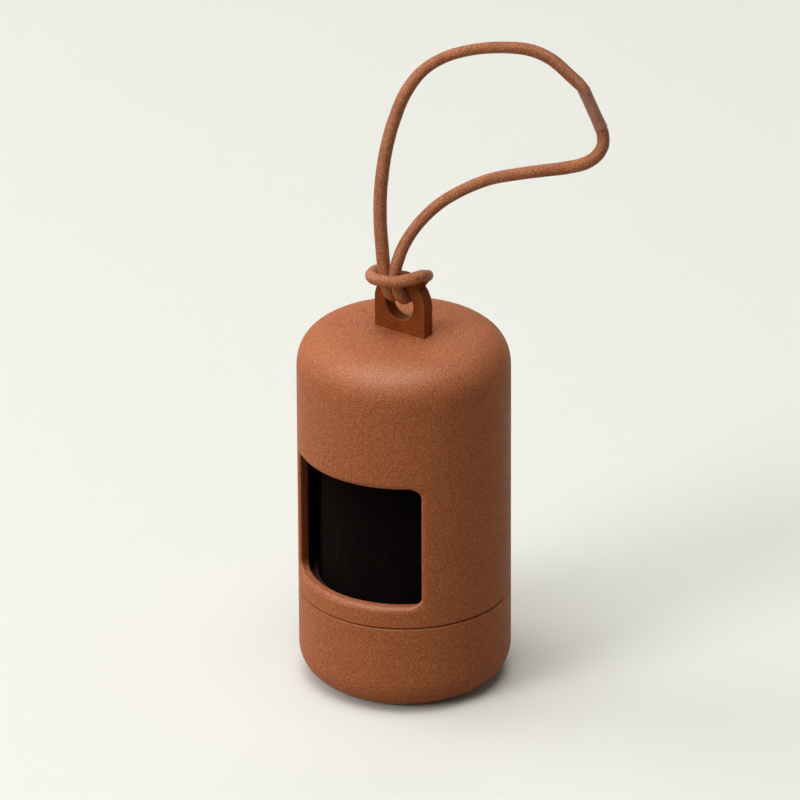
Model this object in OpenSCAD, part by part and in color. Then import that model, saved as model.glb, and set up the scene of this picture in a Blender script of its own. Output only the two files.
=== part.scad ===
// Dog waste bag dispenser: a screwed capsule that holds a roll of bags, with a window in its wall,
// a lug on its dome and a cord loop hitched through the lug. Millimetres.
// The origin is the centre of the base. +Z is up and the window faces -Y.

/* [Capsule] */
// Outer diameter of the wall
body_d = 42; // [36:0.5:54]
// Height from the base to the top of the dome, without the lug
body_h = 74.1; // [72:0.1:100]
// Thickness of the shell's wall and dome
wall = 2; // [1.4:0.1:2.6]
// Width of the shoulder's curve, measured inwards from the wall
shoulder_w = 9; // [6:0.5:12]
// Height of the shoulder's curve
shoulder_h = 8.1; // [5:0.1:12]
// Squareness of the shoulder's curve, where 2 is a plain ellipse
shoulder_power = 2.45; // [2:0.05:4]

/* [Window] */
// Width of the window, measured straight across
window_w = 29.2; // [18:0.2:30]
// Height of the window's sill above the base
window_z = 23.5; // [22:0.5:32]
// Height of the window from sill to header
window_h = 25.6; // [16:0.2:32]
// Radius of the window's corners
window_corner_r = 2; // [1:0.5:5]
// Radius of the rounded rim round the window
rim_r = 1.2; // [0.4:0.1:1.8]

/* [Screw cap] */
// Height of the cap's outside, up to the seam
cap_h = 19; // [14:0.5:20]
// Radius of the rounded foot
foot_r = 6.7; // [3:0.1:8]
// Thickness of the cap's floor
floor_t = 3; // [2.4:0.1:4]
// Height of the threaded spigot above the seam
spigot_h = 3; // [2.5:0.1:4.4]
// Thickness of the spigot's wall
spigot_wall = 1.7; // [1.2:0.1:2.4]
// Gap between the spigot and the shell's bore
screw_gap = 0.3; // [0.2:0.05:0.5]
// Small bevel on both edges of the seam
seam_bevel = 0.2; // [0.1:0.05:0.5]

/* [Lug] */
// Width of the lug
lug_w = 12; // [10:0.2:16]
// Thickness of the lug's plate
lug_t = 3; // [2:0.1:5]
// Diameter of the lug's hole
lug_hole_d = 6.7; // [5.5:0.1:8]
// Height of the hole's centre above the dome
lug_rise = 5.9; // [4.8:0.1:9]
// Bevel along the lug's edges
lug_bevel = 0.3; // [0.1:0.1:0.6]
// How far the flange under the dome stands out past the lug on each side
flange_lip = 2; // [1:0.1:3]
// Thickness of the flange
flange_t = 1.6; // [1:0.1:2.5]
// Gap round the lug in the dome's slot
slot_gap = 0.1; // [0.05:0.05:0.3]

/* [Bag roll] */
// Height of the roll
roll_h = 60; // [50:1:62]
// Gap between the roll and the cap's inner wall
roll_gap = 0.4; // [0.3:0.1:4]
// Rounding of the roll's end edges
roll_edge_r = 0.8; // [0.4:0.1:2]
// Outer diameter of the cardboard core
core_d = 13; // [10:0.5:18]
// Thickness of the core's wall
core_wall = 1; // [0.6:0.1:1.5]
// Gap between the core and the film wound on it
wind_gap = 0.2; // [0.1:0.05:0.4]
// Gap between the roll and the floor that it stands on
stand_gap = 0.2; // [0.1:0.05:0.5]

/* [Cord] */
// Diameter of the cord
cord_d = 2.6; // [2:0.1:2.7]
// Diameter of the cord where it is stretched thin in the hitch
cord_hitch_d = 2.2; // [1.8:0.1:2.3]
// Outer diameter of the sleeve that joins the cord's ends
sleeve_d = 2.9; // [2.8:0.1:4]

/* [Hidden] */
$fn = 96;

shell_colour = [0.57, 0.32, 0.20];
lug_colour = [0.52, 0.26, 0.11];
cord_colour = [0.66, 0.42, 0.32];
sleeve_colour = [0.50, 0.33, 0.28];
card_colour = [0.62, 0.50, 0.37];
film_colour = [0.12, 0.09, 0.08];

body_r = body_d / 2;
bore_r = body_r - wall;
spigot_r = bore_r - screw_gap;
cap_in_r = spigot_r - spigot_wall;
shoulder_z = body_h - shoulder_h;
hole_z = body_h + lug_rise;
foot_z = body_h - wall - slot_gap;
roll_r = cap_in_r - roll_gap;
roll_z = floor_t + stand_gap;
core_r = core_d / 2;
curve_steps = 14;

// The cord, from the sleeve's lower end down the right strand, through the lug and round in the
// hitch, and up the left strand to the sleeve's upper end. Heights are above the hole's centre.
cord_points = [
  [32.3, 20.7, 37.8], [32.6, 21.0, 35.6], [32.5, 20.9, 34.0], [31.7, 20.3, 32.1],
  [30.0, 19.0, 30.5], [27.0, 16.8, 29.5], [23.0, 14.0, 28.8], [19.0, 11.0, 28.1],
  [15.0, 8.0, 27.1], [11.0, 5.0, 25.0], [7.1, 2.2, 21.9], [3.9, -0.1, 17.8],
  [1.9, -1.8, 13.8], [0.8, -2.7, 10.2], [0.3, -3.1, 7.5], [0.5, -3.1, 5.0],
  [1.0, -2.8, 2.9], [1.2, -1.6, 1.5], [1.2, 0.0, 1.3], [1.2, 1.6, 1.4],
  [1.6, 2.8, 2.7], [2.7, 3.0, 4.4], [3.9, 2.7, 5.6], [4.7, 1.4, 6.2],
  [5.0, -0.7, 7.1], [4.2, -3.2, 7.1], [2.4, -5.1, 6.8], [-0.2, -5.8, 6.5],
  [-2.9, -5.6, 6.2], [-4.6, -4.3, 6.0], [-5.3, -2.1, 5.9], [-5.6, 0.0, 5.2],
  [-5.5, 1.6, 4.6], [-4.6, 2.9, 3.8], [-3.2, 3.1, 3.1], [-2.0, 2.7, 2.3],
  [-1.2, 1.6, 1.5], [-1.2, 0.0, 1.3], [-1.2, -1.6, 1.5], [-1.5, -2.9, 2.8],
  [-2.1, -3.1, 5.0], [-2.4, -3.1, 7.5], [-2.6, -3.3, 11.5], [-2.8, -3.6, 17.0],
  [-2.8, -3.6, 22.5], [-2.4, -3.4, 28.0], [-1.7, -2.9, 33.5], [-0.4, -2.0, 39.5],
  [1.4, -0.8, 45.0], [4.0, 1.1, 49.5], [7.5, 3.5, 52.4], [12.0, 6.5, 54.1],
  [17.0, 10.0, 54.6], [21.2, 12.8, 54.1], [24.4, 15.0, 52.3], [27.2, 17.0, 49.1],
  [29.5, 18.7, 46.0]
];
// The elastic cord is stretched thin in the hitch, between these two of its points.
hitch_first = 16;
hitch_last = 39;

function unit(v) = v / norm(v);

// Points of a quarter of a superellipse from the wall, at t = 0, up to the dome's flat, at t = 90.
function shoulder(inset) = [
  for (i = [0 : curve_steps])
    let (t = 90 * i / curve_steps, share = 2 / shoulder_power)
    [
      body_r - shoulder_w + (shoulder_w - inset) * pow(cos(t), share),
      shoulder_z + (shoulder_h - inset) * pow(sin(t), share)
    ]
];

// Points of a quarter circle that turns from straight down to straight out.
function foot_curve(r, x, z, steps) = [
  for (i = [0 : steps])
    let (t = 90 * i / steps)
    [x + r * sin(t), z - r * cos(t)]
];

function reversed(list) = [for (i = [len(list) - 1 : -1 : 0]) list[i]];

// A closed solid through rings of points that turn left as seen from the last ring.
module skin(rings) {
  count = len(rings[0]);
  top = len(rings) - 1;
  polyhedron(
    points = [for (ring = rings) for (p = ring) p],
    faces = concat(
      [for (k = [0 : top - 1]) for (i = [0 : count - 1])
        [k * count + i, (k + 1) * count + i, (k + 1) * count + (i + 1) % count]],
      [for (k = [0 : top - 1]) for (i = [0 : count - 1])
        [k * count + i, (k + 1) * count + (i + 1) % count, k * count + (i + 1) % count]],
      [[for (i = [0 : count - 1]) i]],
      [[for (i = [count - 1 : -1 : 0]) top * count + i]]
    )
  );
}

// ---- Shell ----

module shell_profile() {
  polygon(concat(
    [[bore_r + seam_bevel, cap_h], [body_r - seam_bevel, cap_h], [body_r, cap_h + seam_bevel]],
    shoulder(0),
    [[0, body_h], [0, body_h - wall]],
    reversed(shoulder(wall)),
    [[bore_r, cap_h + seam_bevel]]
  ));
}

// Outline of the window, widened by a step, as [across, up] points round its centre.
function window_outline(widened) =
  let (
    r = window_corner_r + widened,
    across = window_w / 2 - window_corner_r,
    up = window_h / 2 - window_corner_r,
    corner_steps = 5,
    edge_steps = 12
  )
  concat(
    [for (i = [0 : corner_steps]) let (t = 90 * i / corner_steps)
      [across + r * cos(t), up + r * sin(t)]],
    [for (i = [1 : edge_steps - 1]) [across - 2 * across * i / edge_steps, up + r]],
    [for (i = [0 : corner_steps]) let (t = 90 + 90 * i / corner_steps)
      [-across + r * cos(t), up + r * sin(t)]],
    [for (i = [0 : corner_steps]) let (t = 180 + 90 * i / corner_steps)
      [-across + r * cos(t), -up + r * sin(t)]],
    [for (i = [1 : edge_steps - 1]) [-across + 2 * across * i / edge_steps, -up - r]],
    [for (i = [0 : corner_steps]) let (t = 270 + 90 * i / corner_steps)
      [across + r * cos(t), -up + r * sin(t)]]
  );

// What the window takes out of the wall: straight through, and flared by the rounded rim, whose
// depth is measured from the wall's own curved face.
module window_cut() {
  last_angle = 72;
  past = 0.3;
  rim = [for (t = [0 : 18 : last_angle]) [rim_r * (1 - cos(t)), rim_r * (1 - sin(t))]];
  flare = [rim[len(rim) - 1][0] + past, -past];
  rings = concat(
    [[for (p = window_outline(0)) [p[0], -bore_r / 2, p[1]]]],
    [for (step = concat(rim, [flare]))
      [for (p = window_outline(step[0])) [p[0], step[1] - sqrt(body_r * body_r - p[0] * p[0]), p[1]]]],
    [[for (p = window_outline(flare[0])) [p[0], -body_r - wall, p[1]]]]
  );
  translate([0, 0, window_z + window_h / 2]) skin(rings);
}

module body_shell() {
  color(shell_colour)
    difference() {
      rotate_extrude() shell_profile();
      window_cut();
      translate([0, 0, body_h])
        cube([lug_w + 2 * slot_gap, lug_t + 2 * slot_gap, 4 * wall], center = true);
    }
}

// ---- Lug ----

// Outline of the plate, arched over its hole, drawn in by an inset.
module lug_slab(inset, thickness) {
  rotate([90, 0, 0])
    linear_extrude(thickness, center = true) {
      translate([0, hole_z]) circle(lug_w / 2 - inset, $fn = 40);
      translate([inset - lug_w / 2, foot_z]) square([lug_w - 2 * inset, lug_rise]);
    }
}

module hanger_lug() {
  flange_d = lug_t + 2 * flange_lip;
  color(lug_colour)
    difference() {
      union() {
        hull() {
          lug_slab(0, lug_t - 2 * lug_bevel);
          lug_slab(lug_bevel, lug_t);
        }
        translate([0, 0, foot_z - flange_t])
          linear_extrude(flange_t) {
            square([lug_w + 2 * flange_lip - flange_d, flange_d], center = true);
            for (side = [-1, 1])
              translate([side * (lug_w / 2 + flange_lip - flange_d / 2), 0]) circle(d = flange_d);
          }
      }
      translate([0, 0, hole_z])
        rotate([90, 0, 0]) cylinder(h = 2 * lug_t, d = lug_hole_d, center = true);
    }
}

// ---- Cap ----

module base_cap() {
  inner_fillet = 0.6;
  lead = 0.5;
  color(shell_colour)
    rotate_extrude()
      polygon(concat(
        [[0, 0]],
        foot_curve(foot_r, body_r - foot_r, foot_r, 12),
        [
          [body_r, cap_h - seam_bevel], [body_r - seam_bevel, cap_h], [spigot_r, cap_h],
          [spigot_r, cap_h + spigot_h - lead], [spigot_r - lead, cap_h + spigot_h],
          [cap_in_r, cap_h + spigot_h]
        ],
        reversed(foot_curve(inner_fillet, cap_in_r - inner_fillet, floor_t + inner_fillet, 4)),
        [[0, floor_t]]
      ));
}

// ---- Roll ----

module roll_core() {
  color(card_colour)
    translate([0, 0, roll_z])
      rotate_extrude()
        translate([core_r - core_wall, 0]) square([core_wall, roll_h]);
}

module bag_roll() {
  film_in_r = core_r + wind_gap;
  edge = foot_curve(roll_edge_r, roll_r - roll_edge_r, roll_edge_r, 4);
  color(film_colour)
    translate([0, 0, roll_z])
      rotate_extrude()
        polygon(concat(
          [[film_in_r, 0]],
          edge,
          [for (p = reversed(edge)) [p[0], roll_h - p[1]]],
          [[film_in_r, roll_h]]
        ));
}

// ---- Cord ----

cord_start = cord_points[0];
cord_end = cord_points[len(cord_points) - 1];
sleeve_way = unit(cord_start - cord_end);

// Direction of the cord at each point. At the sleeve it is the sleeve's own.
cord_ways = [
  for (i = [0 : len(cord_points) - 1])
    i == 0 || i == len(cord_points) - 1
      ? sleeve_way
      : unit(unit(cord_points[i] - cord_points[i - 1]) + unit(cord_points[i + 1] - cord_points[i]))
];

// The first side, carried along the cord without twist.
function carried_sides(ways, side, i = 0) =
  i == len(ways)
    ? []
    : let (next = unit(side - (side * ways[i]) * ways[i]))
      concat([next], carried_sides(ways, next, i + 1));

// The cord's diameter at a point, which thins over the two points before the hitch.
function cord_width(i) =
  let (away = max(hitch_first - i, i - hitch_last, 0))
  cord_hitch_d + (cord_d - cord_hitch_d) * min(away / 3, 1);

module cord() {
  faces_round = 8;
  sides = carried_sides(cord_ways, cross(sleeve_way, [0, 0, 1]));
  rings = [
    for (i = [0 : len(cord_points) - 1])
      let (u = sides[i], v = cross(cord_ways[i], sides[i]))
      [for (k = [0 : faces_round - 1])
        let (t = 360 * (k + 0.5) / faces_round)
        cord_points[i] + cord_width(i) / 2 * (u * cos(t) + v * sin(t))]
  ];
  color(cord_colour) translate([0, 0, hole_z]) skin(rings);
}

module cord_sleeve() {
  sleeve_l = norm(cord_start - cord_end);
  edge = 0.2;
  color(sleeve_colour)
    translate([0, 0, hole_z])
      translate(cord_end)
        rotate([0, acos(sleeve_way[2]), atan2(sleeve_way[1], sleeve_way[0])])
          rotate_extrude()
            polygon([
              [0, 0], [sleeve_d / 2 - edge, 0], [sleeve_d / 2, edge],
              [sleeve_d / 2, sleeve_l - edge], [sleeve_d / 2 - edge, sleeve_l], [0, sleeve_l]
            ]);
}

body_shell();
hanger_lug();
base_cap();
roll_core();
bag_roll();
cord();
cord_sleeve();
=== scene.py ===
from math import atan2, cos, hypot, pi, radians, sin, sqrt

import bpy
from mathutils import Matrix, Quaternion, Vector


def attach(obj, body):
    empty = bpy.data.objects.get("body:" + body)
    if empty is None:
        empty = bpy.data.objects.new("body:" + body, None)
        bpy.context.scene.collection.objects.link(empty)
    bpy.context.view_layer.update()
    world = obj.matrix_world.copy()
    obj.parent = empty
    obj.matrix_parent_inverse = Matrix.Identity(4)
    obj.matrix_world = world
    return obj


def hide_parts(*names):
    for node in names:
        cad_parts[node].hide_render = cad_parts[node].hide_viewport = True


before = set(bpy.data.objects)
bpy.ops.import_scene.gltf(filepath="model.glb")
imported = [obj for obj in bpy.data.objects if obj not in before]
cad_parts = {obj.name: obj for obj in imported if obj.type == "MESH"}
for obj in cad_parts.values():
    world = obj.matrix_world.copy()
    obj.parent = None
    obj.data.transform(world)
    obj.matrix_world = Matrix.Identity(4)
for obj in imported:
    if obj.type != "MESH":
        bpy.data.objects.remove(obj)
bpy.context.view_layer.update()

MM = 0.001

# ---- Camera -------------------------------------------------------------------------------
# A long lens, a good step away and a little above the capsule, which looks at it from the
# right of its window.
image_px, sensor_mm = 800, 36
azimuth, elevation = radians(36.5), radians(25.87)
distance_mm, px_per_mm = 1760, 5.089
pan_px, tilt_px, roll_angle = 3.9, 63.2, radians(-0.28)

look_from = Vector((sin(azimuth), -cos(azimuth), 0)) * cos(elevation)
look_from.z = sin(elevation)
lens_px = px_per_mm * distance_mm
bpy.ops.object.camera_add(location=Vector((0, 0, 45 * MM)) + look_from * distance_mm * MM)
camera = bpy.context.object
camera.rotation_mode = "QUATERNION"
camera.rotation_quaternion = (
    (-look_from).to_track_quat("-Z", "Y")
    @ Quaternion((0, 1, 0), pan_px / lens_px)
    @ Quaternion((1, 0, 0), tilt_px / lens_px)
    @ Quaternion((0, 0, 1), roll_angle)
)
camera.data.sensor_width = sensor_mm
camera.data.lens = lens_px * sensor_mm / image_px
camera.data.clip_start = 0.05
bpy.context.scene.camera = camera

# ---- Cord ---------------------------------------------------------------------------------
# A round elastic cord, braided over a rubber core. It is doubled, pushed through the lug's hole
# and pulled round itself in a hitch, where it is stretched thinner. Its own spring holds the
# loop up.
cord_d = 2.6 * MM
cord_hitch_d = 2.2 * MM
cord_points = [
    (32.3, 20.7, 37.8), (32.6, 21.0, 35.6), (32.5, 20.9, 34.0), (31.7, 20.3, 32.1),
    (30.0, 19.0, 30.5), (27.0, 16.8, 29.5), (23.0, 14.0, 28.8), (19.0, 11.0, 28.1),
    (15.0, 8.0, 27.1), (11.0, 5.0, 25.0), (7.1, 2.2, 21.9), (3.9, -0.1, 17.8),
    (1.9, -1.8, 13.8), (0.8, -2.7, 10.2), (0.3, -3.1, 7.5), (0.5, -3.1, 5.0),
    (1.0, -2.8, 2.9), (1.2, -1.6, 1.5), (1.2, 0.0, 1.3), (1.2, 1.6, 1.4),
    (1.6, 2.8, 2.7), (2.7, 3.0, 4.4), (3.9, 2.7, 5.6), (4.7, 1.4, 6.2),
    (5.0, -0.7, 7.1), (4.2, -3.2, 7.1), (2.4, -5.1, 6.8), (-0.2, -5.8, 6.5),
    (-2.9, -5.6, 6.2), (-4.6, -4.3, 6.0), (-5.3, -2.1, 5.9), (-5.6, 0.0, 5.2),
    (-5.5, 1.6, 4.6), (-4.6, 2.9, 3.8), (-3.2, 3.1, 3.1), (-2.0, 2.7, 2.3),
    (-1.2, 1.6, 1.5), (-1.2, 0.0, 1.3), (-1.2, -1.6, 1.5), (-1.5, -2.9, 2.8),
    (-2.1, -3.1, 5.0), (-2.4, -3.1, 7.5), (-2.6, -3.3, 11.5), (-2.8, -3.6, 17.0),
    (-2.8, -3.6, 22.5), (-2.4, -3.4, 28.0), (-1.7, -2.9, 33.5), (-0.4, -2.0, 39.5),
    (1.4, -0.8, 45.0), (4.0, 1.1, 49.5), (7.5, 3.5, 52.4), (12.0, 6.5, 54.1),
    (17.0, 10.0, 54.6), (21.2, 12.8, 54.1), (24.4, 15.0, 52.3), (27.2, 17.0, 49.1),
    (29.5, 18.7, 46.0),
]
# The points are measured from the centre of the lug's hole, 80 mm up.
cord_points = [Vector((x, y, z + 80)) * MM for x, y, z in cord_points]
last_place = len(cord_points) - 1
sleeve_low, sleeve_high = cord_points[0], cord_points[-1]
sleeve_up = (sleeve_high - sleeve_low).normalized()
tucked_in = 1.2 * MM
ring_step = 0.36 * MM


def blend(one, other, start, end, now):
    """The point between two others, for a time between those of the two."""
    return one * ((end - now) / (end - start)) + other * ((now - start) / (end - start))


def smooth_route(points, ends):
    """A smooth curve through the points, as (point, place), where place counts those passed."""
    points = [ends[0]] + points + [ends[1]]
    route = []
    for i in range(1, len(points) - 2):
        a, b, c, d = points[i - 1 : i + 3]
        times = [0]
        for one, two in ((a, b), (b, c), (c, d)):
            times.append(times[-1] + sqrt((two - one).length))
        t0, t1, t2, t3 = times
        for step in range(10):
            now = t1 + (t2 - t1) * step / 10
            ab = blend(a, b, t0, t1, now)
            bc = blend(b, c, t1, t2, now)
            cd = blend(c, d, t2, t3, now)
            near, far = blend(ab, bc, t0, t2, now), blend(bc, cd, t1, t3, now)
            route.append((blend(near, far, t1, t2, now), i - 1 + step / 10))
    return route + [(points[-2], len(points) - 3)]


def even_steps(route, step):
    """The same route with its rings an even step apart."""
    even, left = [route[0]], step
    for (a, i), (b, j) in zip(route, route[1:]):
        span, done = (b - a).length, 0
        while span - done >= left:
            done += left
            left = step
            even.append((a.lerp(b, done / span), i + (j - i) * done / span))
        left -= span - done
    return even


# The cord is at its hitch diameter between two places, and reaches its full one a few places
# away. It also swells and thins along its way, in mm of radius at a place, and the sleeve
# pinches its ends.
hitch_from, hitch_to, hitch_fade = 16, 39, 3
swells = [
    (0, -0.25), (0.16, -0.07), (5, -0.03), (7.5, -0.12), (9, -0.17), (11, -0.15), (13, -0.08),
    (16, 0), (23, 0), (24, 0.1), (31, 0.08), (33, 0), (40, 0), (42, 0.03), (45, 0.02),
    (46.5, -0.02), (48, -0.05), (49.5, -0.19), (51, -0.21), (52, -0.16), (53, -0.08),
    (55.6, -0.08), (56, -0.17),
]


def cord_radius(place):
    """The cord's radius where this number of its points is passed."""
    away = max(hitch_from - place, place - hitch_to, 0)
    whole = min(away / hitch_fade, 1)
    whole = whole * whole * (3 - 2 * whole)
    for (one, low), (two, high) in zip(swells, swells[1:]):
        if one <= place <= two:
            swell = low + (high - low) * (place - one) / (two - one)
    return (cord_hitch_d + (cord_d - cord_hitch_d) * whole) / 2 + swell * MM


def tube(name, route, radius_at, sides):
    """A round tube along a route, whose map runs once round and evenly along."""
    centres = [point for point, place in route]
    pairs = zip(centres[:1] + centres, centres[1:] + centres[-1:])
    ways = [(after - before).normalized() for before, after in pairs]
    ways[0], ways[-1] = ways[1], ways[-2]
    side = ways[0].orthogonal().normalized()
    corners, faces = [], []
    for way, (centre, place) in zip(ways, route):
        side = (side - way * side.dot(way)).normalized()
        other_side = way.cross(side)
        for k in range(sides):
            turn = 2 * pi * k / sides
            out = side * cos(turn) + other_side * sin(turn)
            corners.append(centre + out * radius_at(place))
    for ring in range(len(route) - 1):
        for k in range(sides):
            a, b = ring * sides + k, ring * sides + (k + 1) % sides
            faces.append((a, b, b + sides, a + sides))
    ends = [tuple(range(sides))[::-1], tuple(range(len(corners) - sides, len(corners)))]
    mesh = bpy.data.meshes.new(name)
    mesh.from_pydata(corners, [], faces + ends)

    girth = 2 * pi * radius_at(0)
    along = [0]
    for a, b in zip(centres, centres[1:]):
        along.append(along[-1] + (b - a).length / girth)
    chart = mesh.uv_layers.new(name="UVMap").data
    for face in mesh.polygons[: len(faces)]:
        ring, k = divmod(face.index, sides)
        for loop, (u, v) in zip(face.loop_indices, ((k, 0), (k + 1, 0), (k + 1, 1), (k, 1))):
            chart[loop].uv = (u / sides, along[ring + v])
    piece = bpy.data.objects.new(name, mesh)
    bpy.context.collection.objects.link(piece)
    mesh.polygons.foreach_set("use_smooth", [True] * len(mesh.polygons))
    return piece


beyond = sleeve_up * 3 * MM
route = smooth_route(cord_points, (sleeve_low + beyond, sleeve_high - beyond))
first_end, last_end = sleeve_low + sleeve_up * tucked_in, sleeve_high - sleeve_up * tucked_in
route = even_steps([(first_end, 0)] + route + [(last_end, last_place)], ring_step)
cord = tube("elastic_cord", route, cord_radius, 24)
cord_length = sum((b[0] - a[0]).length for a, b in zip(route, route[1:]))


class Value:
    """A socket of a finish, so that masks and patterns are written as sums."""

    def __init__(self, finish, socket):
        self.finish, self.socket = finish, socket

    def __add__(self, other): return self.finish.maths("ADD", self, other)
    def __radd__(self, other): return self.finish.maths("ADD", other, self)
    def __sub__(self, other): return self.finish.maths("SUBTRACT", self, other)
    def __rsub__(self, other): return self.finish.maths("SUBTRACT", other, self)
    def __mul__(self, other): return self.finish.maths("MULTIPLY", self, other)
    def __truediv__(self, other): return self.finish.maths("DIVIDE", self, other)
    def __pow__(self, other): return self.finish.maths("POWER", self, other)


class Finish:
    """A material that is built up node by node."""

    def __init__(self, name):
        self.material = bpy.data.materials.new(name)
        self.material.use_nodes = True
        self.material.node_tree.nodes.clear()

    def node(self, kind, settings={}, values={}, output=0):
        """Adds a node, sets or links its inputs, and gives one of its outputs."""
        node = self.material.node_tree.nodes.new(kind)
        for key, value in settings.items():
            setattr(node, key, value)
        for key, value in values.items():
            if isinstance(value, Value):
                self.material.node_tree.links.new(value.socket, node.inputs[key])
            else:
                node.inputs[key].default_value = value
        return Value(self, node.outputs[output])

    def maths(self, operation, *values):
        return self.node("ShaderNodeMath", {"operation": operation}, dict(enumerate(values)))

    def where(self, kind="Object"):
        """Coordinates on the piece, in metres or on its map."""
        return self.node("ShaderNodeTexCoord", output=kind)

    def parts(self, vector, count=3):
        return (self.node("ShaderNodeSeparateXYZ", {}, {0: vector}, k) for k in range(count))

    def stretch_up(self, vector, share):
        """Coordinates in which a pattern is drawn out along Z."""
        settings, values = {"operation": "MULTIPLY"}, {0: vector, 1: (1, 1, share)}
        return self.node("ShaderNodeVectorMath", settings, values)

    def noise(self, where, size, detail):
        values = {"Vector": where, "Scale": 1 / size, "Detail": detail}
        return self.node("ShaderNodeTexNoise", {}, values)

    def ramp(self, share, *stops):
        """A colour that runs through the stops, each a place and a tone, as its share grows."""
        colour = self.node("ShaderNodeValToRGB", {}, {0: share})
        elements = colour.socket.node.color_ramp.elements
        while len(elements) < len(stops):
            elements.new(1)
        for element, (place, tone) in zip(elements, stops):
            element.position, element.color = place, (*tone, 1)
        return colour

    def mix(self, share, one, other):
        values = {0: share, 6: one, 7: other}
        return self.node("ShaderNodeMix", {"data_type": "RGBA"}, values, 2)

    def surface(self, height, depth, **values):
        """Ends the material in a shader with these values and a bump of this height and depth."""
        heights = {"Strength": 1.0, "Distance": depth, "Height": height}
        values = {key.replace("_", " "): value for key, value in values.items()}
        values["Normal"] = self.node("ShaderNodeBump", {}, heights)
        skin = self.node("ShaderNodeBsdfPrincipled", {}, values)
        out = self.material.node_tree.nodes.new("ShaderNodeOutputMaterial")
        self.material.node_tree.links.new(skin.socket, out.inputs[0])


braid = Finish("cord_braid")
u, v = braid.parts(braid.where("UV"), 2)
around = u * (2 * pi * 16)
along = v * (2 * pi * 14)
picks = braid.maths("SINE", around + along) * braid.maths("SINE", around - along)
rows = braid.maths("COSINE", along * 2)
in_space = braid.where()
fuzz = braid.noise(in_space, 0.2 * MM, 2)
drift = braid.noise(in_space, 4 * MM, 2)
braid.surface(
    picks * 0.5 + fuzz + rows * 0.5,
    0.045 * MM,
    Base_Color=braid.ramp(
        picks * 0.14 + (fuzz - 0.5) * 1.6 + (drift - 0.5) * 0.25 + 0.5,
        (0.0, (0.05, 0.010, 0.002)),
        (0.5, (0.41, 0.118, 0.043)),
        (1.0, (0.84, 0.41, 0.22)),
    ),
    Roughness=0.4,
    Specular_IOR_Level=0.2,
    Specular_Tint=(1.0, 0.7, 0.5, 1.0),
)
cord.data.materials.append(braid.material)

# ---- Sleeve -------------------------------------------------------------------------------
# A short piece of smooth tube, shrunk over the cord's two ends to join them. Its open lower end
# shows a thin dark gap round the cord.
sleeve_r = 1.27 * MM
sleeve_l = (sleeve_high - sleeve_low).length
sleeve_lip, sleeve_mouth = 0.06 * MM, 0.8 * MM


def deselect():
    if bpy.context.mode != "OBJECT":
        bpy.ops.object.mode_set(mode="OBJECT")
    bpy.ops.object.select_all(action="DESELECT")


def only(piece):
    deselect()
    piece.select_set(True)
    bpy.context.view_layer.objects.active = piece


def apply_modifiers(piece):
    only(piece)
    for modifier in list(piece.modifiers):
        bpy.ops.object.modifier_apply(modifier=modifier.name)


def settle(piece):
    """Puts the piece's origin at the frame's, unturned and unscaled."""
    only(piece)
    bpy.ops.object.transform_apply(location=True, rotation=True, scale=True)


def bevel(piece, width, segments, angle):
    """Rounds the edges that are sharper than an angle."""
    edges = piece.modifiers.new("edges", "BEVEL")
    edges.width, edges.segments = width, segments
    edges.limit_method, edges.angle_limit = "ANGLE", radians(angle)
    apply_modifiers(piece)


def pick_faces(piece, wanted):
    """Selects the faces that answer to a test on their centre and normal, in edit mode."""
    bpy.ops.mesh.select_all(action="DESELECT")
    bpy.ops.object.mode_set(mode="OBJECT")
    for face in piece.data.polygons:
        face.select = wanted(face.center, face.normal)
    bpy.ops.object.mode_set(mode="EDIT")
    bpy.ops.mesh.select_mode(type="FACE")


def on_sleeve_side(centre, normal):
    return abs(normal.z) < 0.5 and hypot(centre.x, centre.y) > sleeve_r - 0.03 * MM


deselect()
bpy.ops.mesh.primitive_cylinder_add(
    vertices=48, radius=sleeve_r, depth=sleeve_l, location=(0, 0, sleeve_l / 2)
)
sleeve = bpy.context.object
sleeve.name = "joining_sleeve"
settle(sleeve)
bpy.ops.object.mode_set(mode="EDIT")
pick_faces(sleeve, lambda centre, normal: abs(normal.z) > 0.9)
bpy.ops.mesh.inset(thickness=sleeve_lip)
bpy.ops.mesh.extrude_region_shrink_fatten(TRANSFORM_OT_shrink_fatten={"value": -sleeve_mouth})
pick_faces(sleeve, on_sleeve_side)
bpy.ops.mesh.subdivide(number_cuts=9)
bpy.ops.object.mode_set(mode="OBJECT")
# It has shrunk in at the waist and towards its upper end, and flares at the lower one.
for corner in sleeve.data.vertices:
    up = min(max(corner.co.z / sleeve_l, 0), 1)
    grip = 1 - 0.03 * sin(pi * up) - 0.02 * up + 0.05 * max(0, 1 - up / 0.12) ** 2
    corner.co.x *= grip
    corner.co.y *= grip
bevel(sleeve, 0.025 * MM, 2, 50)
sleeve.rotation_mode = "QUATERNION"
sleeve.rotation_quaternion = sleeve_up.to_track_quat("Z", "Y")
sleeve.location = sleeve_low
settle(sleeve)
bpy.ops.object.shade_smooth_by_angle(angle=radians(40))

shrunk = Finish("sleeve_plastic")
mottle = shrunk.noise(shrunk.where(), 1.6 * MM, 3)
shrunk.surface(
    mottle,
    0.03 * MM,
    Base_Color=shrunk.ramp(mottle, (0.3, (0.27, 0.09, 0.053)), (0.7, (0.39, 0.15, 0.094))),
    Roughness=0.24 + mottle * 0.1,
    Specular_IOR_Level=0.7,
    Specular_Tint=(1.0, 0.85, 0.75, 1.0),
)
sleeve.data.materials.append(shrunk.material)
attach(sleeve, "housing")
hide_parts("cord_sleeve")
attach(cord, "housing")
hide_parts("cord")

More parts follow.
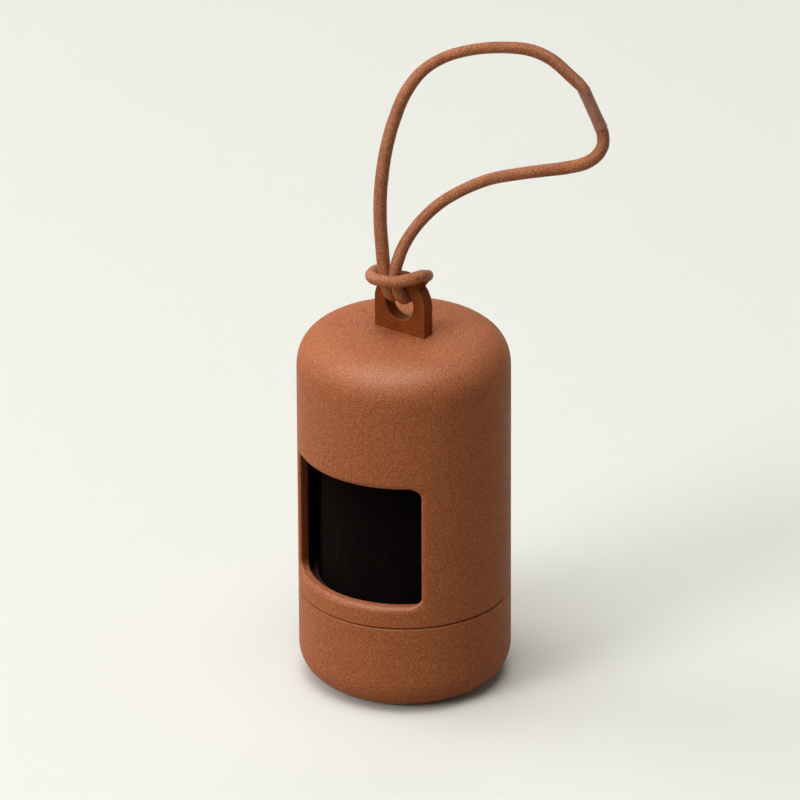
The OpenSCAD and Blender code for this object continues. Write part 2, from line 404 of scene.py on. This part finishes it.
# ---- Shell --------------------------------------------------------------------------------
# The capsule's upper part, moulded in matte plastic with a soft-touch grain: a round wall, a
# squared-off shoulder and a nearly flat dome. The bags leave through the window, whose rim is
# rounded, and the cap screws into the bore below.
body_r = 21 * MM
body_h = 74.1 * MM
wall = 2 * MM
bore_r, bore_top = body_r - wall, 65 * MM
cap_h = 19 * MM
shoulder_w, shoulder_h, shoulder_power = 9 * MM, 8.1 * MM, 2.45
window_w, window_h, window_z = 29.2 * MM, 25.6 * MM, 23.5 * MM
window_corner_r = 2 * MM
rim_r, rim_reach = 1.2 * MM, 1.6 * MM
# The groove where cap and shell meet, in mm into the wall and away from the joint's plane.
seam = [(0, 0.44), (0.02, 0.28), (0.12, 0.19), (0.6, 0.13)]


def lathe(name, profile, steps=180):
    """A turned piece, from a profile of (radius, height) that is drawn point by point and spun."""
    deselect()
    bpy.ops.mesh.primitive_plane_add(size=MM, location=(0, 0, 0))
    piece = bpy.context.object
    piece.name = name
    bpy.ops.object.mode_set(mode="EDIT")
    bpy.ops.mesh.select_mode(type="VERT")
    bpy.ops.mesh.merge(type="CENTER")
    bpy.ops.transform.translate(value=(profile[0][0], 0, profile[0][1]))
    for (x0, z0), (x1, z1) in zip(profile, profile[1:]):
        move = {"value": (x1 - x0, 0, z1 - z0)}
        bpy.ops.mesh.extrude_region_move(TRANSFORM_OT_translate=move)
    bpy.ops.mesh.select_all(action="SELECT")
    bpy.ops.mesh.spin(steps=steps, angle=2 * pi, center=(0, 0, 0), axis=(0, 0, 1))
    bpy.ops.mesh.select_all(action="SELECT")
    bpy.ops.mesh.remove_doubles(threshold=0.002 * MM)
    bpy.ops.mesh.normals_make_consistent(inside=False)
    bpy.ops.object.mode_set(mode="OBJECT")
    return piece


def shoulder(inset, steps=26):
    """The shoulder's curve, from the wall up to the dome's flat."""
    curve = []
    for i in range(steps + 1):
        turn = pi / 2 * i / steps
        across, up = max(cos(turn), 0) ** (2 / shoulder_power), sin(turn) ** (2 / shoulder_power)
        curve.append((
            body_r - shoulder_w + (shoulder_w - inset) * across,
            body_h - shoulder_h + (shoulder_h - inset) * up,
        ))
    return curve


def cut(piece, cutter):
    only(piece)
    taken = piece.modifiers.new("cut", "BOOLEAN")
    taken.object, taken.solver = cutter, "EXACT"
    bpy.ops.object.modifier_apply(modifier=taken.name)
    bpy.data.objects.remove(cutter)


def smooth(piece, angle=35):
    """Shades a piece smooth up to an angle, with its large faces kept true."""
    only(piece)
    bpy.ops.object.shade_smooth_by_angle(angle=radians(angle))
    even = piece.modifiers.new("even", "WEIGHTED_NORMAL")
    even.keep_sharp = True
    bpy.ops.object.modifier_apply(modifier=even.name)


shell = lathe("capsule_shell", (
    [(0, body_h), (6 * MM, body_h)]
    + shoulder(0)[::-1]
    + [(body_r, cap_h + z * MM) for z in (40, 30, 20, 10, 1)]
    + [(body_r - r * MM, cap_h + z * MM) for r, z in seam]
    + [(bore_r + 0.25 * MM, cap_h + 0.05 * MM), (bore_r, cap_h + 0.3 * MM)]
    + [(bore_r, cap_h + z * MM) for z in (8, 20, 32, 42)]
    + shoulder(wall)
    + [(0, body_h - wall)]
))


def window_outline(widened):
    """The window's outline, widened by a step, as points round its centre."""
    r, points = window_corner_r + widened, []
    across, up = window_w / 2 - window_corner_r, window_h / 2 - window_corner_r
    quarters = [(across, up, 0), (-across, up, 90), (-across, -up, 180), (across, -up, 270)]
    for x, z, start in quarters:
        for i in range(9):
            turn = radians(start + 90 * i / 8)
            points.append((x + r * cos(turn), z + r * sin(turn)))
        if start in (0, 180):
            edge_z = z + (r if start == 0 else -r)
            points += [(x - 2 * x * i / 36, edge_z) for i in range(1, 36)]
    return points


# The rim's depth is measured from the wall's own curved face, so its rings are placed in code.
rim = [(rim_r * (1 - cos(radians(t))), rim_r * (1 - sin(radians(t)))) for t in range(0, 85, 12)]
rings = [[(x, -body_r / 2, z) for x, z in window_outline(0)]]
for step, depth in [(0, 1.75 * MM)] + rim + [(rim_reach, -0.25 * MM)]:
    rings.append([(x, depth - sqrt(body_r**2 - x * x), z) for x, z in window_outline(step)])
rings.append([(x, -body_r - wall, z) for x, z in window_outline(rim_reach)])
count = len(rings[0])
window_centre = Vector((0, 0, window_z + window_h / 2))
corners = [Vector(point) + window_centre for ring in rings for point in ring]
faces = []
for ring in range(len(rings) - 1):
    for i in range(count):
        a, b = ring * count + i, ring * count + (i + 1) % count
        faces.append((a, b, b + count, a + count))
faces += [tuple(range(count))[::-1], tuple(range(len(corners) - count, len(corners)))]
window_mesh = bpy.data.meshes.new("window_cutter")
window_mesh.from_pydata(corners, [], faces)
window_cutter = bpy.data.objects.new("window_cutter", window_mesh)
bpy.context.collection.objects.link(window_cutter)
only(window_cutter)
bpy.ops.object.mode_set(mode="EDIT")
bpy.ops.mesh.select_all(action="SELECT")
bpy.ops.mesh.normals_make_consistent(inside=False)
deselect()
cut(shell, window_cutter)

lug_w, lug_t, hole_z = 12 * MM, 3 * MM, 80 * MM
slot_play = 0.12 * MM
deselect()
bpy.ops.mesh.primitive_cube_add(size=1, location=(0, 0, body_h))
slot = bpy.context.object
slot.scale = (lug_w + slot_play, lug_t + slot_play, 8 * MM)
settle(slot)
cut(shell, slot)

thread_lead, thread_sweep = 3 * MM, 132
thread_run_out, thread_fade = 25, 45


def thread(name, root, crest, low, start):
    """A right-handed screw ridge, through part of a turn, that fades out at both ends."""
    # Its section is a small square, whose corners move to a radius and a height in mm.
    deselect()
    bpy.ops.mesh.primitive_plane_add(size=MM)
    ridge = bpy.context.object
    ridge.name = name
    section = {
        (-1, -1): (root, -0.42), (1, -1): (root, 0.42),
        (-1, 1): (crest, -0.18), (1, 1): (crest, 0.18),
    }
    for corner in ridge.data.vertices:
        r, up = section[(round(corner.co.x * 2 / MM), round(corner.co.y * 2 / MM))]
        corner.co = (r * cos(radians(start)), r * sin(radians(start)), low + up * MM)
    turned = ridge.modifiers.new("turned", "SCREW")
    turned.angle, turned.axis = radians(thread_sweep), "Z"
    turned.screw_offset = thread_lead * thread_sweep / 360
    turned.steps = turned.render_steps = int(thread_sweep / 3)
    turned.use_normal_calculate = True
    apply_modifiers(ridge)
    for corner in ridge.data.vertices:
        r = hypot(corner.co.x, corner.co.y)
        done = (corner.co.z - low) / thread_lead * 360
        left = min(done + thread_run_out, thread_sweep + thread_run_out - done)
        height = root + (r - root) * min(1, max(0.02, left / thread_fade))
        corner.co.x, corner.co.y = corner.co.x * height / r, corner.co.y * height / r
    bpy.ops.object.mode_set(mode="EDIT")
    bpy.ops.mesh.select_all(action="SELECT")
    bpy.ops.mesh.fill_holes(sides=0)
    bpy.ops.mesh.normals_make_consistent(inside=False)
    bpy.ops.object.mode_set(mode="OBJECT")
    return ridge


def add_threads(piece, name, root, crest, low):
    """Joins a two-start thread to a piece."""
    for start in (0, 180):
        ridge = thread(name, root, crest, low, start)
        only(piece)
        ridge.select_set(True)
        bpy.ops.object.join()


add_threads(shell, "bore_thread", bore_r + 0.05 * MM, 18.35 * MM, 20.75 * MM)
smooth(shell)

moulded = Finish("shell_plastic")
in_space = moulded.where()
grain = moulded.noise(in_space, 0.12 * MM, 0)
speckle = moulded.noise(in_space, 0.45 * MM, 4)
cloud = moulded.noise(in_space, 14 * MM, 3)
moulded.surface(
    grain * 0.9 + speckle * 0.15,
    0.03 * MM,
    Base_Color=moulded.ramp(
        (grain - 0.5) * 6.6 + (speckle - 0.5) * 0.5 + (cloud - 0.5) * 0.25 + 0.5,
        (0.0, (0.20, 0.040, 0.008)),
        (0.5, (0.370, 0.096, 0.028)),
        (1.0, (0.56, 0.18, 0.064)),
    ),
    Roughness=0.6 + (speckle - 0.5) * 0.25,
    Specular_IOR_Level=0.2,
    Specular_Tint=(1.0, 0.92, 0.8, 1.0),
)
# Painted shade: the inner faces take a much darker brown than the plastic, so that the inside
# shows as good as black.
inside = Finish("shell_inside_painted_shade")
painted_shade_grain = inside.noise(inside.where(), 0.4 * MM, 3)
inside.surface(
    painted_shade_grain,
    0.02 * MM,
    Base_Color=inside.ramp(
        painted_shade_grain, (0.3, (0.026, 0.006, 0.002)), (0.7, (0.045, 0.011, 0.004))
    ),
    Roughness=0.7,
    Specular_IOR_Level=0.1,
)


def paint_shade_inside(piece, within):
    """Gives a piece's inner faces the dark painted-shade finish, by a test on their radius, height
    and slope.
    """
    piece.data.materials.append(inside.material)
    for face in piece.data.polygons:
        inner = within(hypot(face.center.x, face.center.y), face.center.z, face.normal.z)
        face.material_index = 1 if inner else 0


def in_shell(r, z, up):
    """True for the bore above the joint, and for what faces down under the dome."""
    above_joint = r < bore_r + 0.02 * MM and z > cap_h + 0.2 * MM
    return above_joint and (z < bore_top or up < -0.001)


shell.data.materials.append(moulded.material)
# Painted shade on the bore above the joint and on what faces down under the dome.
paint_shade_inside(shell, in_shell)
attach(shell, "housing")
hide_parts("body_shell")

# ---- Lug ----------------------------------------------------------------------------------
# A separate moulding in a darker orange-brown: a flat plate with an arched top and a round hole.
# It passes up through a slot in the dome and is held by a flange under it.
hole_r = 3.35 * MM
flange_w, flange_t, flange_h = 15.8 * MM, 6.8 * MM, 1.6 * MM
flange_top = body_h - wall - 0.1 * MM


def hole_cylinder(radius, depth):
    """A cylinder on the hole's axis, across the plate."""
    deselect()
    bpy.ops.mesh.primitive_cylinder_add(
        vertices=96, radius=radius, depth=depth, location=(0, 0, hole_z), rotation=(pi / 2, 0, 0)
    )
    return bpy.context.object


lug = hole_cylinder(lug_w / 2, lug_t)
lug.name = "hanger_plate"
settle(lug)
bpy.ops.object.mode_set(mode="EDIT")
bpy.ops.mesh.select_all(action="SELECT")
bpy.ops.mesh.bisect(
    plane_co=(0, 0, hole_z), plane_no=(0, 0, 1), clear_inner=True, use_fill=True
)
pick_faces(lug, lambda centre, normal: normal.z < -0.9)
bpy.ops.mesh.extrude_region_move(TRANSFORM_OT_translate={"value": (0, 0, flange_top - hole_z)})
bpy.ops.mesh.extrude_region()
bpy.ops.transform.resize(
    value=(flange_w / lug_w, flange_t / lug_t, 1), center_override=(0, 0, 0)
)
bpy.ops.mesh.extrude_region_move(TRANSFORM_OT_translate={"value": (0, 0, -flange_h)})
bpy.ops.object.mode_set(mode="OBJECT")
cut(lug, hole_cylinder(hole_r, 2 * lug_t))
bevel(lug, 0.28 * MM, 3, 45)
smooth(lug, 32)

# A painted highlight: the moulding's rounded edges take a paler colour, which a mask on those
# faces marks.
painted_highlight_mask = lug.data.color_attributes.new(name="edge", type="FLOAT_COLOR", domain="CORNER")
for face in lug.data.polygons:
    rounded = 1.0 if 0.15 < abs(face.normal.y) < 0.96 else 0.0
    for loop in face.loop_indices:
        painted_highlight_mask.data[loop].color = (rounded, rounded, rounded, 1)

satin = Finish("lug_plastic")
in_space = satin.where()
grain = satin.noise(in_space, 0.2 * MM, 2)
cloud = satin.noise(in_space, 3 * MM, 2)
marked = satin.node("ShaderNodeAttribute", {"attribute_name": "edge"})
edge_highlight = satin.node("ShaderNodeSeparateColor", {}, {0: marked})
lug_colour = satin.ramp(
    (grain - 0.5) * 1.8 + (cloud - 0.5) * 0.6 + 0.5,
    (0.0, (0.12, 0.022, 0.004)),
    (0.5, (0.215, 0.050, 0.011)),
    (1.0, (0.33, 0.10, 0.025)),
)
satin.surface(
    grain,
    0.02 * MM,
    # Painted highlight on the rounded edges, mixed in by the mask.
    Base_Color=satin.mix(edge_highlight * 0.6, lug_colour, (0.40, 0.13, 0.032, 1)),
    Roughness=0.5 + (grain - 0.5) * 0.2,
    Specular_IOR_Level=0.05,
    Specular_Tint=(1.0, 0.6, 0.4, 1.0),
)
lug.data.materials.append(satin.material)
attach(lug, "housing")
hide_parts("hanger_lug")

# ---- Cap ----------------------------------------------------------------------------------
# The capsule's lower part, moulded like the shell: a cup with a rounded foot and a flat base,
# whose threaded spigot screws up into the shell's bore.
foot_r, floor_t, floor_corner_r = 6.7 * MM, 3 * MM, 0.6 * MM
spigot_r, spigot_top, cap_in_r = 18.2 * MM, 22 * MM, 17 * MM


def arc(r, z, radius, angles):
    """A profile's arc round a centre, by angles from straight down towards the outside."""
    turns = [radians(angle) for angle in angles]
    return [(r + radius * sin(turn), z - radius * cos(turn)) for turn in turns]


cap = lathe("screw_cap", (
    [(0, 0), (7 * MM, 0), (13.8 * MM, 0)]
    + arc(body_r - foot_r, foot_r, foot_r, range(0, 91, 5))
    + [(body_r, z * MM) for z in (10, 15, 18)]
    + [(body_r - r * MM, cap_h - z * MM) for r, z in seam]
    + [(18.9 * MM, cap_h - 0.05 * MM), (spigot_r + 0.3 * MM, cap_h)]
    + [(spigot_r, cap_h + 0.3 * MM), (spigot_r, 21 * MM), (spigot_r, spigot_top - 0.5 * MM)]
    + [(spigot_r - 0.15 * MM, spigot_top - 0.15 * MM), (spigot_r - 0.5 * MM, spigot_top)]
    + [(cap_in_r + 0.15 * MM, spigot_top), (cap_in_r, spigot_top - 0.15 * MM)]
    + [(cap_in_r, 20 * MM), (cap_in_r, 12 * MM)]
    + arc(cap_in_r - floor_corner_r, floor_t + floor_corner_r, floor_corner_r, range(90, -1, -15))
    + [(13 * MM, floor_t), (6 * MM, floor_t), (0, floor_t)]
))


def in_cap(r, z, up):
    """True for the spigot's rim and the cup's inside, which take the painted shade."""
    on_rim = r < spigot_r - 0.05 * MM and z > spigot_top - 0.6 * MM
    return on_rim or r < cap_in_r + 0.02 * MM and z > floor_t - 0.1 * MM


add_threads(cap, "spigot_thread", spigot_r - 0.05 * MM, 18.85 * MM, 20 * MM)
smooth(cap)
cap.data.materials.append(moulded.material)
# Painted shade on the spigot's rim and the cup's inside.
paint_shade_inside(cap, in_cap)
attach(cap, "cap")
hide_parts("base_cap")

# ---- Core ---------------------------------------------------------------------------------
# The roll's plain cardboard tube, wound from two plies of grey-brown paper, so a spiral seam
# runs up it.
roll_low, roll_high = 3.2 * MM, 63.2 * MM
core_r, core_in_r, core_chamfer = 6.5 * MM, 5.5 * MM, 0.15 * MM
core = lathe("cardboard_core", [
    (core_in_r, roll_low + core_chamfer), (core_in_r + core_chamfer, roll_low),
    (core_r - core_chamfer, roll_low), (core_r, roll_low + core_chamfer),
    (core_r, 20 * MM), (core_r, 45 * MM),
    (core_r, roll_high - core_chamfer), (core_r - core_chamfer, roll_high),
    (core_in_r + core_chamfer, roll_high), (core_in_r, roll_high - core_chamfer),
    (core_in_r, 45 * MM), (core_in_r, 20 * MM), (core_in_r, roll_low + core_chamfer),
], 72)
smooth(core)

ply_rise = 26 * MM
card = Finish("core_cardboard")
in_space = card.where()
x, y, z = card.parts(in_space)
turn = card.maths("ARCTAN2", y, x)
seam_line = card.maths("FRACT", turn / (2 * pi) + z / ply_rise)
from_seam = card.maths("ABSOLUTE", seam_line - 0.5) * 40
seam_mask = 1 - card.maths("SMOOTH_MIN", from_seam, 1, 0.1)
fibres = card.noise(card.stretch_up(in_space, 0.35), 0.5 * MM, 5)
card_colour = card.ramp(fibres, (0.3, (0.24, 0.16, 0.09)), (0.7, (0.42, 0.30, 0.19)))
card.surface(
    fibres - seam_mask * 0.8,
    0.05 * MM,
    Base_Color=card.mix(seam_mask * 0.6, card_colour, (0.12, 0.075, 0.04, 1)),
    Roughness=0.88,
)
core.data.materials.append(card.material)
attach(core, "core")
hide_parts("roll_core")

# ---- Roll ---------------------------------------------------------------------------------
# The roll of bags: thin black film, folded flat and wound tight round the core. Its layers show
# as fine rings on the ends, and faint creases run across the outside.
roll_r, film_in_r, roll_edge_r = 16.6 * MM, 6.7 * MM, 0.8 * MM
roll_edge = arc(roll_r - roll_edge_r, roll_low + roll_edge_r, roll_edge_r, range(0, 91, 15))
roll = lathe("bag_film_roll", (
    [(film_in_r, roll_low + 0.1 * MM), (film_in_r + 0.1 * MM, roll_low), (10 * MM, roll_low)]
    + roll_edge
    + [(roll_r, z * MM) for z in range(6, 62, 3)]
    + [(r, roll_low + roll_high - z) for r, z in roll_edge[::-1]]
    + [(10 * MM, roll_high), (film_in_r + 0.1 * MM, roll_high), (film_in_r, roll_high - 0.1 * MM)]
    + [(film_in_r, 40 * MM), (film_in_r, 20 * MM), (film_in_r, roll_low + 0.1 * MM)]
), 144)
# The film is wound a little unevenly: two shallow waves run round it and drift as they rise.
slack_from, slack_over = 12 * MM, 4.2 * MM
for corner in roll.data.vertices:
    r, turn = hypot(corner.co.x, corner.co.y), atan2(corner.co.y, corner.co.x)
    rise = corner.co.z / MM
    if r > slack_from:
        slack = 0.10 * sin(3 * turn + rise * 0.11) + 0.06 * sin(7 * turn - rise * 0.2)
        lift = (r - slack_from) / slack_over * (slack - 0.16) * MM
        corner.co.x, corner.co.y = corner.co.x * (1 + lift / r), corner.co.y * (1 + lift / r)
smooth(roll)

film_lap = 0.42 * MM
film = Finish("bag_film")
in_space = film.where()
x, y = film.parts(in_space, 2)
reach = (x * x + y * y) ** 0.5
laps = film.maths("SINE", reach / film_lap * (2 * pi) - film.maths("ARCTAN2", y, x))
creases = film.noise(film.stretch_up(in_space, 0.22), 1.6 * MM, 4)
film.surface(
    creases + laps * 0.15,
    0.16 * MM,
    Base_Color=film.ramp(creases, (0.3, (0.002, 0.0012, 0.001)), (0.8, (0.007, 0.003, 0.0025))),
    Roughness=0.9 + (creases - 0.5) * 0.2,
    IOR=1.2,
    Specular_IOR_Level=0.1,
)
roll.data.materials.append(film.material)
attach(roll, "film")
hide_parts("bag_roll")

# ---- Floor and light ----------------------------------------------------------------------
# A plain pale sheet, lit softly from above and from the left. The sheet is pale where it is
# seen, and throws back less light than that.
seen_by = ("Is Camera Ray", "Is Glossy Ray", "Is Transmission Ray")
deselect()
bpy.ops.mesh.primitive_plane_add(size=8, location=(0, 0, 0))
floor = bpy.context.object
floor.name = "paper_floor"
paper = Finish("pale_paper")
camera_ray, glossy_ray, through_ray = (
    paper.node("ShaderNodeLightPath", output=kind) for kind in seen_by
)
seen = camera_ray + glossy_ray + through_ray
paper.surface(
    paper.noise(paper.where(), 0.5 * MM, 2),
    0.002 * MM,
    Base_Color=paper.mix(seen, (0.28, 0.28, 0.26, 1), (0.815, 0.815, 0.75, 1)),
    Roughness=0.95,
    Specular_IOR_Level=0.1,
)
floor.data.materials.append(paper.material)


lamp_aim, lamp_distance = Vector((0, 0, 0.05)), 1.8


def soft_light(name, side, height, size, power):
    """A square lamp that faces the capsule. Its side is as seen by the camera: 90 is right."""
    a, e = radians(side) + azimuth, radians(height)
    way = Vector((sin(a) * cos(e), -cos(a) * cos(e), sin(e)))
    bpy.ops.object.light_add(type="AREA", location=lamp_aim + way * lamp_distance)
    lamp = bpy.context.object
    lamp.name = name
    lamp.rotation_mode = "QUATERNION"
    lamp.rotation_quaternion = way.to_track_quat("Z", "Y")
    lamp.data.shape, lamp.data.size, lamp.data.energy = "SQUARE", size, power
    return lamp


soft_light("overhead", -30, 80, 1.5, 24.5)
soft_light("left_front", -52, 28, 0.7, 12.8)
soft_light("left_back", -112, 24, 1.3, 11.5)
soft_light("behind", 180, 50, 1.1, 3)
# This one shows in gloss only, as the pale band along the shoulder.
sheen = soft_light("sheen", -45, 69, 1.2, 150)
sheen.visible_diffuse = False

world = bpy.data.worlds.new("studio")
bpy.context.scene.world = world
world.use_nodes = True
sky = world.node_tree
sky.nodes.clear()


def background(colour, strength):
    light = sky.nodes.new("ShaderNodeBackground")
    light.inputs[0].default_value, light.inputs[1].default_value = colour, strength
    return light.outputs[0]


# Pale where it is seen, and dim where it lights the capsule.
path = sky.nodes.new("ShaderNodeLightPath")
shown = path.outputs[seen_by[0]]
for kind in seen_by[1:]:
    either = sky.nodes.new("ShaderNodeMath")
    either.operation = "MAXIMUM"
    sky.links.new(shown, either.inputs[0])
    sky.links.new(path.outputs[kind], either.inputs[1])
    shown = either.outputs[0]
both = sky.nodes.new("ShaderNodeMixShader")
sky.links.new(shown, both.inputs[0])
sky.links.new(background((1, 1, 1, 1), 0.12), both.inputs[1])
sky.links.new(background((0.86, 0.86, 0.80, 1), 1), both.inputs[2])
sky.links.new(both.outputs[0], sky.nodes.new("ShaderNodeOutputWorld").inputs[0])
bpy.context.scene.view_settings.view_transform = "Standard"
